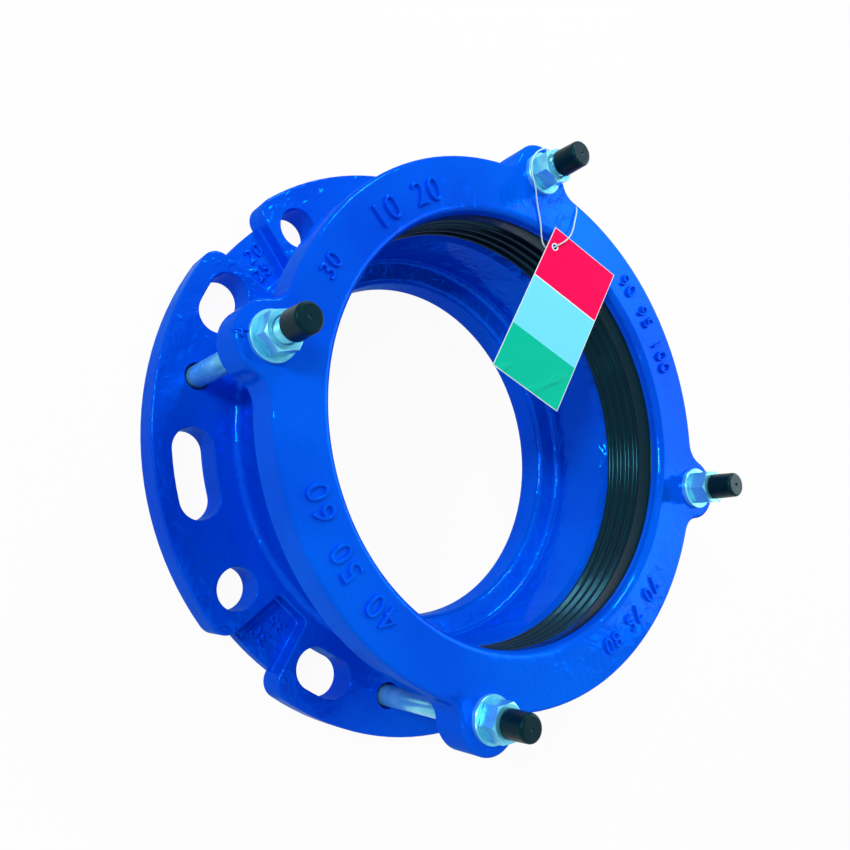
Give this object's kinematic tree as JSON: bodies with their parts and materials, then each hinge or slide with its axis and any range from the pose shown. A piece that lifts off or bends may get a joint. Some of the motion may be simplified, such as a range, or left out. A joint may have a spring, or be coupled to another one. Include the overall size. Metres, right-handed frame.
{
  "type": "flange adaptor",
  "caption": "Painted iron flange adaptor that joins a plain-ended pipe to a flange, with a slotted flange, sealing gasket, gland ring, capped tie bolts and a card tag on a string.",
  "frame": {"origin": "centre of the flange's sealing face, on the pipe's axis", "axes": "+Z along the pipe's axis from the sealing face towards the gland ring; +X and +Y through tie bolts, with the tag tied at the bolt on +Y"},
  "size_m": [0.34, 0.34, 0.1325],
  "materials": {
    "blue_paint": "gloss",
    "zinc": "satin",
    "gasket_rubber": "matte",
    "cap_plastic": "matte",
    "tag_card": "satin",
    "string": "matte"
  },
  "bodies": {
    "body": {"flange_body": "blue_paint", "gasket": "gasket_rubber", "tie_bolt_1": "zinc", "tie_bolt_2": "zinc", "tie_bolt_3": "zinc", "tie_bolt_4": "zinc", "end_cap_1": "cap_plastic", "end_cap_2": "cap_plastic", "end_cap_3": "cap_plastic", "end_cap_4": "cap_plastic"},
    "gland": {"gland_ring": "blue_paint", "washer_1": "zinc", "washer_2": "zinc", "washer_3": "zinc", "washer_4": "zinc", "tag": "tag_card", "tag_string": "string", "string_knot": "string"},
    "nut_body_1": {"nut_1": "zinc"},
    "nut_body_2": {"nut_2": "zinc"},
    "nut_body_3": {"nut_3": "zinc"},
    "nut_body_4": {"nut_4": "zinc"}
  },
  "joints": [
    {"name": "gland_draw", "type": "slide", "parent": "body", "child": "gland", "axis": [0, 0, -1], "range_m": [0, 0.008], "deforming": ["gasket"]},
    {"name": "nut_turn_1", "type": "hinge", "parent": "gland", "child": "nut_body_1", "pos_m": [0.1475, 0, 0.1075], "axis": [0, 0, -1], "range_deg": [0, 1650]},
    {"name": "nut_turn_2", "type": "hinge", "parent": "gland", "child": "nut_body_2", "pos_m": [0, 0.1475, 0.1075], "axis": [0, 0, -1], "range_deg": [0, 1650]},
    {"name": "nut_turn_3", "type": "hinge", "parent": "gland", "child": "nut_body_3", "pos_m": [-0.1475, 0, 0.1075], "axis": [0, 0, -1], "range_deg": [0, 1650]},
    {"name": "nut_turn_4", "type": "hinge", "parent": "gland", "child": "nut_body_4", "pos_m": [0, -0.1475, 0.1075], "axis": [0, 0, -1], "range_deg": [0, 1650]}
  ],
  "couplings": [
    {"joint": "nut_turn_1", "follows": "gland_draw", "rad_per_m": 3590.4},
    {"joint": "nut_turn_2", "follows": "gland_draw", "rad_per_m": 3590.4},
    {"joint": "nut_turn_3", "follows": "gland_draw", "rad_per_m": 3590.4},
    {"joint": "nut_turn_4", "follows": "gland_draw", "rad_per_m": 3590.4}
  ]
}
